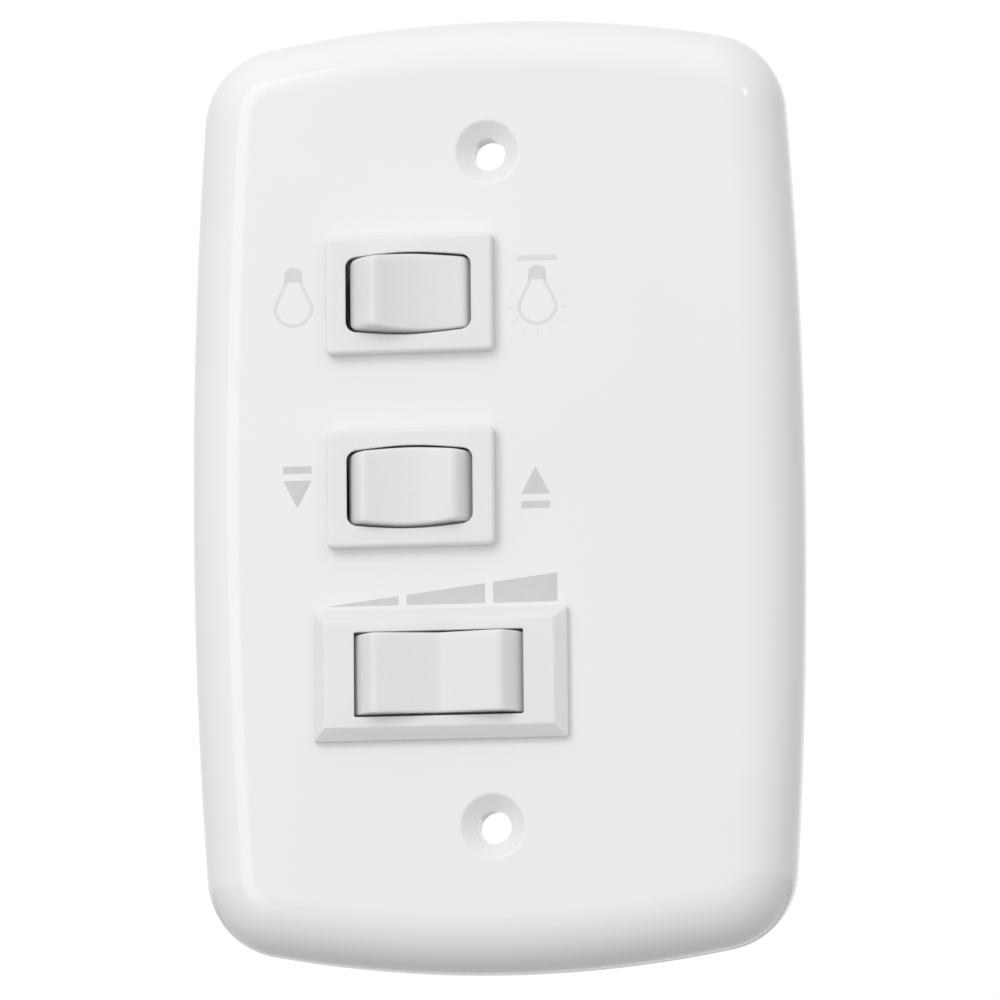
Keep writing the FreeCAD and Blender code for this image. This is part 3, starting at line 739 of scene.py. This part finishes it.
def makeRocker(switch):
    half = switch["wellHalf"] - rocker["sideGap"]
    piece = capShell(switch, switch["wellRadius"] - switch["rockerGap"], half)
    carve(piece, "UNION", capInside(switch, half))
    smoothOver(piece, rocker["sharp"])
    name = switch["name"] + "_rocker"
    standFor(piece, name, name)


for switch in switches:
    makeRocker(switch)
print("rockers done")


# Node trees

def newTree(name, sizes, fromPath=False):
    tree = bpy.data.node_groups.new(name, "GeometryNodeTree")
    tree.interface.new_socket("Geometry", in_out="OUTPUT", socket_type="NodeSocketGeometry")
    if fromPath:
        tree.interface.new_socket("Path", in_out="INPUT", socket_type="NodeSocketGeometry")
    for size in sizes:
        tree.interface.new_socket(size, in_out="INPUT", socket_type="NodeSocketFloat")
    tree.interface.new_socket("Finish", in_out="INPUT", socket_type="NodeSocketMaterial")
    return tree, addNode(tree, "NodeGroupInput").outputs


def closeTree(tree, given, geometry):
    solid = addNode(tree, "GeometryNodeRealizeInstances", {"Geometry": geometry}).outputs[0]
    shaded = addNode(tree, "GeometryNodeSetMaterial", {"Geometry": solid, "Material": given["Finish"]})
    addNode(tree, "NodeGroupOutput", {"Geometry": shaded.outputs[0]})


def growPiece(name, tree, values, path=None):  # runs a tree with these named sizes and keeps the plain mesh
    seed = addObject("seed", path or bpy.data.meshes.new("seed"))
    grown = seed.modifiers.new("grow", "NODES")
    grown.node_group = tree
    for socket in tree.interface.items_tree:
        if socket.in_out == "INPUT" and socket.name in values:
            grown[socket.identifier] = values[socket.name]
    mesh = bpy.data.meshes.new_from_object(seed.evaluated_get(bpy.context.evaluated_depsgraph_get()))
    bpy.data.objects.remove(seed)
    mesh.name = name
    return addObject(name, mesh)


def springTree():  # round wire wound on a helix
    tree, given = newTree("spring coil", ["Radius", "Wire", "Rise", "Turns"])
    helix = addNode(tree, "GeometryNodeCurveSpiral",
                    {"Resolution": spring["turnSteps"], "Rotations": given["Turns"],
                     "Start Radius": given["Radius"], "End Radius": given["Radius"], "Height": given["Rise"]})
    thin = addNode(tree, "ShaderNodeMath", {0: given["Wire"], 1: 0.5}, operation="MULTIPLY")
    wire = addNode(tree, "GeometryNodeCurvePrimitiveCircle",
                   {"Resolution": spring["wireSides"], "Radius": thin.outputs[0]})
    coil = addNode(tree, "GeometryNodeCurveToMesh",
                   {"Curve": helix.outputs[0], "Profile Curve": wire.outputs["Curve"], "Fill Caps": True})
    smooth = addNode(tree, "GeometryNodeSetShadeSmooth", {"Geometry": coil.outputs[0], "Shade Smooth": True})
    closeTree(tree, given, smooth.outputs[0])
    return tree


def makeSpring(switch, tree):
    wire = spring["wire"]
    coil = growPiece(switch["name"] + "_coil_spring", tree, {
        "Radius": (plunger["width"] / 2 - spring["room"] - wire / 2) * mm, "Wire": wire * mm,
        "Rise": (spring["length"] - wire) * mm, "Turns": spring["turns"], "Finish": springSteel})
    start = plunger["length"] - switch["stem"] + wire / 2
    for vert in coil.data.vertices:
        spot = vert.co / mm
        vert.co = tipped(switch, spot.x, spot.y, spot.z + start)
    standFor(coil, switch["name"] + "_spring", switch["name"] + "_rocker")


coilTree = springTree()
for switch in switches:
    makeSpring(switch, coilTree)
print("springs done")


# Printed signs on the face, in mm from the plate's middle

signs = {
    "ink": 0.03,  # half its height, drawn thicker than life so that it clears the face
    "bulb": {"off": (-24.25, 22.95), "on": (6.1, 22.35), "radius": 2.3, "neck": 0.85, "rise": 3.2,
             "line": 0.4, "flankPull": 0.34, "shoulder": (-0.25, 0.75), "pathSteps": 16,
             "capHalf": 1.08, "capTop": 4.95, "capRound": 0.75, "capSteps": 12},
    "ceiling": {"half": 2.45, "up": 5.55, "thick": 0.65},
    "rays": {"count": 9, "first": -24.0, "step": 28.5, "radius": 3.4, "length": 0.8, "line": 0.18},
    "arrow": {"down": (-23.85, -0.35), "up": (5.65, 0.65), "half": 1.75, "length": 3.4, "gap": 0.9,
              "bar": 0.88},
    "steps": {"left": -20.1, "right": 8.2, "foot": -14.35, "top": 3.5, "breaks": (-10.9, -0.2), "gap": 1.0},
}
quarterHandle = 0.5523  # handle length that gives a quarter circle of radius 1


def addPrint(bm, outline):  # a thin field of ink, half sunk in the face
    low, high = plateFront - signs["ink"], plateFront + signs["ink"]
    addLoft(bm, [[(x, up, out) for x, up in outline] for out in (low, high)])


def addBar(bm, x, half, up0, up1):
    addPrint(bm, [(x - half, up0), (x + half, up0), (x + half, up1), (x - half, up1)])


def inkLineTree():  # a flat line of ink along a path on the face
    tree, given = newTree("ink line", ["Line", "Ink"], fromPath=True)
    level = addNode(tree, "GeometryNodeSetCurveNormal", {"Curve": given["Path"], "Normal": (0, -1, 0)},
                    mode="FREE").outputs["Curve"]
    strip = addNode(tree, "GeometryNodeCurvePrimitiveQuadrilateral",
                    {"Width": given["Ink"], "Height": given["Line"]}).outputs["Curve"]
    drawn = addNode(tree, "GeometryNodeCurveToMesh",
                    {"Curve": level, "Profile Curve": strip, "Fill Caps": True}).outputs[0]
    flat = addNode(tree, "GeometryNodeSetShadeSmooth", {"Geometry": drawn, "Shade Smooth": False})
    closeTree(tree, given, flat.outputs[0])
    return tree


def rayTree():  # short strokes round the lit bulb
    tree, given = newTree("light rays", ["Count", "First", "Step", "Radius", "Length", "Line", "Ink"])
    size = addNode(tree, "ShaderNodeCombineXYZ",
                   {"X": given["Length"], "Y": given["Ink"], "Z": given["Line"]}).outputs[0]
    stroke = addNode(tree, "GeometryNodeMeshCube", {"Size": size}).outputs["Mesh"]
    reach = addNode(tree, "ShaderNodeCombineXYZ", {"X": given["Radius"]}).outputs[0]
    stroke = addNode(tree, "GeometryNodeTransform", {"Geometry": stroke, "Translation": reach})
    spots = addNode(tree, "GeometryNodeMeshLine", {"Count": given["Count"], "Offset": (0, 0, 0)})
    number = addNode(tree, "GeometryNodeInputIndex").outputs[0]
    angle = addNode(tree, "ShaderNodeMath", {0: number, 1: given["Step"], 2: given["First"]},
                    operation="MULTIPLY_ADD")
    euler = addNode(tree, "ShaderNodeCombineXYZ", {"Y": angle.outputs[0]})
    turn = addNode(tree, "FunctionNodeEulerToRotation", {"Euler": euler.outputs[0]})
    copies = addNode(tree, "GeometryNodeInstanceOnPoints",
                     {"Points": spots.outputs[0], "Instance": stroke.outputs[0], "Rotation": turn.outputs[0]})
    closeTree(tree, given, copies.outputs[0])
    return tree


def bulbPath(centre):  # the glass: straight flanks down from the cap, and a round end
    form = signs["bulb"]
    radius, neck, rise = form["radius"], form["neck"], form["rise"]
    handle = quarterHandle * radius
    flank = Vector((neck - radius, rise)) * form["flankPull"]
    knots = [((neck, rise), -flank, -flank), ((radius, 0), Vector(form["shoulder"]), Vector((0, -handle))),
             ((0, -radius), Vector((handle, 0)), Vector((-handle, 0)))]  # (point, its two handles)
    knots += [((-x, up), Vector((-after.x, after.y)), Vector((-before.x, before.y)))
              for (x, up), before, after in reversed(knots[:2])]
    curve = bpy.data.curves.new("bulb path", "CURVE")
    curve.dimensions = "3D"
    spline = curve.splines.new("BEZIER")
    spline.resolution_u = form["pathSteps"]
    spline.bezier_points.add(len(knots) - 1)
    for point, (spot, before, after) in zip(spline.bezier_points, knots):
        at = Vector(centre) + Vector(spot)
        point.handle_left_type = point.handle_right_type = "FREE"
        point.co = place(*at, plateFront)
        point.handle_left = place(*(at + before), plateFront)
        point.handle_right = place(*(at + after), plateFront)
    return curve


def addBulbCap(bm, centre):
    x, up = centre
    form = signs["bulb"]
    half, dome = form["capHalf"], form["capRound"]
    high = up + form["capTop"] - dome
    outline = [(x + half * cos(a), high + dome * sin(a))
               for a in arcSteps(0, pi, form["capSteps"])]
    addPrint(bm, [(x - half, up + form["rise"]), (x + half, up + form["rise"])] + outline)


def addArrow(bm, centre, way):  # a triangle with a bar behind its base
    x, up = centre
    form = signs["arrow"]
    base = up - way * form["length"] / 2
    addPrint(bm, [(x - form["half"], base), (x + form["half"], base), (x, base + way * form["length"])])
    near = base - way * form["gap"]
    addBar(bm, x, form["half"], near, near - way * form["bar"])


def addSteps(bm):  # one long wedge, parted twice
    form = signs["steps"]
    edges = [form["left"]]
    for middle in form["breaks"]:
        edges += [middle - form["gap"] / 2, middle + form["gap"] / 2]
    edges.append(form["right"])
    slope = form["top"] / (form["right"] - form["left"])
    foot = form["foot"]
    for x0, x1 in zip(edges[::2], edges[1::2]):
        rise0, rise1 = [slope * (x - form["left"]) + signs["ink"] for x in (x0, x1)]
        addPrint(bm, [(x0, foot), (x1, foot), (x1, foot + rise1), (x0, foot + rise0)])


def makeSigns():
    fills, caps, mark = bmesh.new(), bmesh.new(), bmesh.new()
    lineTree = inkLineTree()
    bulb, ceiling, rays = signs["bulb"], signs["ceiling"], signs["rays"]
    ink = 2 * signs["ink"] * mm
    pieces = []
    for state in ("off", "on"):
        addBulbCap(caps, bulb[state])
        sizes = {"Line": bulb["line"] * mm, "Ink": ink, "Finish": faintInk}
        pieces.append(growPiece("bulb_glass_" + state, lineTree, sizes, bulbPath(bulb[state])))
    x, up = bulb["on"]
    low = up + ceiling["up"]
    addBar(mark, x, ceiling["half"], low, low + ceiling["thick"])
    glow = growPiece("bulb_rays", rayTree(), {
        "Count": rays["count"], "First": radians(rays["first"]), "Step": radians(rays["step"]),
        "Radius": rays["radius"] * mm, "Length": rays["length"] * mm, "Line": rays["line"] * mm, "Ink": ink,
        "Finish": hazeInk})
    for vert in glow.data.vertices:
        vert.co += place(x, up, plateFront)
    addArrow(fills, signs["arrow"]["down"], -1)
    addArrow(fills, signs["arrow"]["up"], 1)
    addSteps(fills)
    pieces += [glow, newPiece("switch_signs", fills, [signInk]), newPiece("bulb_caps", caps, [thinInk]),
               newPiece("ceiling_mark", mark, [faintInk])]
    for piece in pieces:
        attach(piece, "plate")


makeSigns()
print("signs done")


# Metal and moulded pieces behind the plate, with eased edges

eased = {"weld": 0.001, "flat": 0.5, "edge": 35, "segments": 2, "sharp": 40}  # mm, then degrees
innerPieces = {  # by the node's ending: the piece's ending, finish, edge in mm and slot
    "_terminal": ("_blade", terminalBrass, 0.1, "terminal_brass"),
    "_contact_bar": ("_strip", terminalBrass, 0.06, "contact_brass"),
    "_contacts": ("_pads", contactSilver, 0.08, "contact_silver"),
    "_plunger": ("_pusher", plungerAcetal, 0.12, "plunger_plastic"),
}
capacitor = {"tabEdge": 0.1, "caseEdge": 0.35, "fillFacing": 0.9, "fillDepth": 0.5}


def easedCopy(node, name, finishes, width):
    bm = bmesh.new()
    bm.from_mesh(nodes[node].data)
    bmesh.ops.remove_doubles(bm, verts=bm.verts, dist=eased["weld"] * mm)
    bmesh.ops.dissolve_limit(bm, angle_limit=radians(eased["flat"]), verts=bm.verts, edges=bm.edges)
    sharp = [edge for edge in bm.edges if edge.calc_face_angle(0.0) > radians(eased["edge"])]
    bmesh.ops.bevel(bm, geom=sharp, offset=width * mm, offset_type="OFFSET", segments=eased["segments"],
                    profile=0.5, affect="EDGES", clamp_overlap=True)
    piece = newPiece(name, bm, finishes)
    smoothOver(piece, eased["sharp"])
    standFor(piece, node, nodes[node]["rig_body"])
    return piece


for node in sorted(nodes):
    for ending, (newEnding, finish, width, slot) in innerPieces.items():
        if node.endswith(ending):
            easedCopy(node, node + newEnding, [finish], width)
easedCopy("capacitor_tabs", "capacitor_blades", [tabTin], capacitor["tabEdge"])
case = easedCopy("capacitor_case", "capacitor_body", [capacitorCase, pottingEpoxy], capacitor["caseEdge"])
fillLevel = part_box("capacitor_case")[1].y - capacitor["fillDepth"] * mm
for polygon in case.data.polygons:  # the sunken fill is poured epoxy
    if polygon.normal.y > capacitor["fillFacing"] and polygon.center.y < fillLevel:
        polygon.material_index = 1
print("inner pieces done")


# Camera, light and floor

look = {"azimuth": 7.8, "elevation": -7.95, "roll": -0.53, "distance": 800.0, "pixelsPerMm": 8.087,
        "imageSize": 1000, "aimX": 0.02, "aimUp": -0.46, "sensor": 36.0}


def aimed(azimuth, elevation):  # from the object towards the viewer
    a, e = radians(azimuth), radians(elevation)
    return Vector((sin(a) * cos(e), -cos(a) * cos(e), sin(e)))


def makeCamera():
    data = bpy.data.cameras.new("camera")
    data.sensor_width = look["sensor"]
    data.lens = look["sensor"] * look["pixelsPerMm"] * look["distance"] / look["imageSize"]
    camera = addObject("camera", data)
    back = aimed(look["azimuth"], look["elevation"])
    camera.location = Vector((look["aimX"], 0, look["aimUp"])) * mm + back * look["distance"] * mm
    camera.rotation_mode = "QUATERNION"
    roll = Quaternion((0, 0, 1), radians(look["roll"]))
    camera.rotation_quaternion = (-back).to_track_quat("-Z", "Y") @ roll
    bpy.context.scene.camera = camera


lampDistance = 1.0  # metres
lamps = {  # degrees as seen from the object, sizes in metres, and if it shows in the gloss
    "key": {"azimuth": -20, "elevation": 30, "size": (0.5, 0.45), "power": 1.6, "mirrored": False},
    "strip": {"azimuth": -28, "elevation": 8, "size": (0.38, 1.4), "power": 2.3, "mirrored": True},
    "spark": {"azimuth": 44, "elevation": 24, "size": (0.14, 0.1), "power": 0.2, "mirrored": True},
    "rear key": {"azimuth": 168, "elevation": 16, "size": (0.5, 0.5), "power": 4.0, "mirrored": False},
    "rear fill": {"azimuth": -165, "elevation": -8, "size": (0.6, 0.6), "power": 2.2, "mirrored": False},
}


def addLamp(name, form):
    data = bpy.data.lights.new(name, "AREA")
    data.shape = "RECTANGLE"
    data.size, data.size_y = form["size"]
    data.energy = form["power"]
    lamp = addObject(name, data)
    towards = aimed(form["azimuth"], form["elevation"])
    lamp.location = towards * lampDistance
    lamp.visible_camera = False
    lamp.visible_glossy = form["mirrored"]
    lamp.rotation_mode = "QUATERNION"
    lamp.rotation_quaternion = (-towards).to_track_quat("-Z", "Y")


def seenRays(tree):  # 1 for what the camera sees, straight or in gloss and glass
    path = addNode(tree, "ShaderNodeLightPath").outputs
    seen = addNode(tree, "ShaderNodeMath", {0: path["Is Camera Ray"], 1: path["Is Glossy Ray"]},
                   operation="MAXIMUM")
    return addNode(tree, "ShaderNodeMath", {0: seen.outputs[0], 1: path["Is Transmission Ray"]},
                   operation="MAXIMUM").outputs[0]


room = {"level": 0.49, "lean": (0.05, -0.28, 0.27), "least": 0.04}  # soft light, most from above and in front


def makeWorld():
    world = bpy.data.worlds.new("studio")
    bpy.context.scene.world = world
    world.use_nodes = True
    tree = world.node_tree
    tree.nodes.clear()
    towards = addNode(tree, "ShaderNodeTexCoord").outputs["Generated"]
    lean = addNode(tree, "ShaderNodeVectorMath", {0: towards, 1: room["lean"]}, operation="DOT_PRODUCT")
    level = addNode(tree, "ShaderNodeMath", {0: lean.outputs["Value"], 1: room["level"]}, operation="ADD")
    level = addNode(tree, "ShaderNodeMath", {0: level.outputs[0], 1: room["least"]}, operation="MAXIMUM")
    soft = addNode(tree, "ShaderNodeBackground", {"Color": tint("#ffffff"), "Strength": level.outputs[0]})
    white = addNode(tree, "ShaderNodeBackground", {"Color": tint("#ffffff"), "Strength": 1.0})
    mixed = addNode(tree, "ShaderNodeMixShader", {0: seenRays(tree), 1: soft.outputs[0], 2: white.outputs[0]})
    addNode(tree, "ShaderNodeOutputWorld", {"Surface": mixed.outputs[0]})


ground = {  # a pale board with hardly any shine, seen by camera and gloss only: no light bounces off it
    "name": "matt painted board", "light": "#f4f4f3", "deep": "#f0f0ef", "cloudSize": 250.0, "rough": 0.8,
    "height": -300.0, "half": 3000.0, "cells": 8,
}


def makeFloor():
    material, tree, shader = newMaterial(ground["name"])
    spot = addNode(tree, "ShaderNodeTexCoord").outputs["Object"]
    cloud = addNode(tree, "ShaderNodeTexNoise",
                    {"Vector": spot, "Scale": 1 / (ground["cloudSize"] * mm), "Detail": 2.0}).outputs["Fac"]
    colour = addNode(tree, "ShaderNodeMix", {0: cloud, 6: tint(ground["light"]), 7: tint(ground["deep"])},
                     data_type="RGBA")
    tree.links.new(colour.outputs[2], shader.inputs["Base Color"])
    shader.inputs["Roughness"].default_value = ground["rough"]
    under = addNode(tree, "ShaderNodeNewGeometry").outputs["Backfacing"]
    top = addNode(tree, "ShaderNodeMath", {0: seenRays(tree), 1: under}, operation="SUBTRACT", use_clamp=True)
    clear = addNode(tree, "ShaderNodeBsdfTransparent").outputs[0]
    shown = addNode(tree, "ShaderNodeMixShader", {0: top.outputs[0], 1: clear, 2: shader.outputs[0]})
    surface = tree.nodes["Material Output"].inputs["Surface"]
    tree.links.new(shown.outputs[0], surface)  # see-through from below
    bm = bmesh.new()
    cells = ground["cells"]
    bmesh.ops.create_grid(bm, x_segments=cells, y_segments=cells, size=ground["half"] * mm)
    for vert in bm.verts:
        vert.co.z = ground["height"] * mm
    floor = newPiece("floor", bm, [material])
    if floor.data.polygons[0].normal.z < 0:
        floor.data.flip_normals()  # its pale side is the upper one


makeCamera()
makeWorld()
makeFloor()
for name, form in lamps.items():
    addLamp(name, form)
bpy.context.scene.view_settings.view_transform = "Standard"
print("camera, light and floor done")
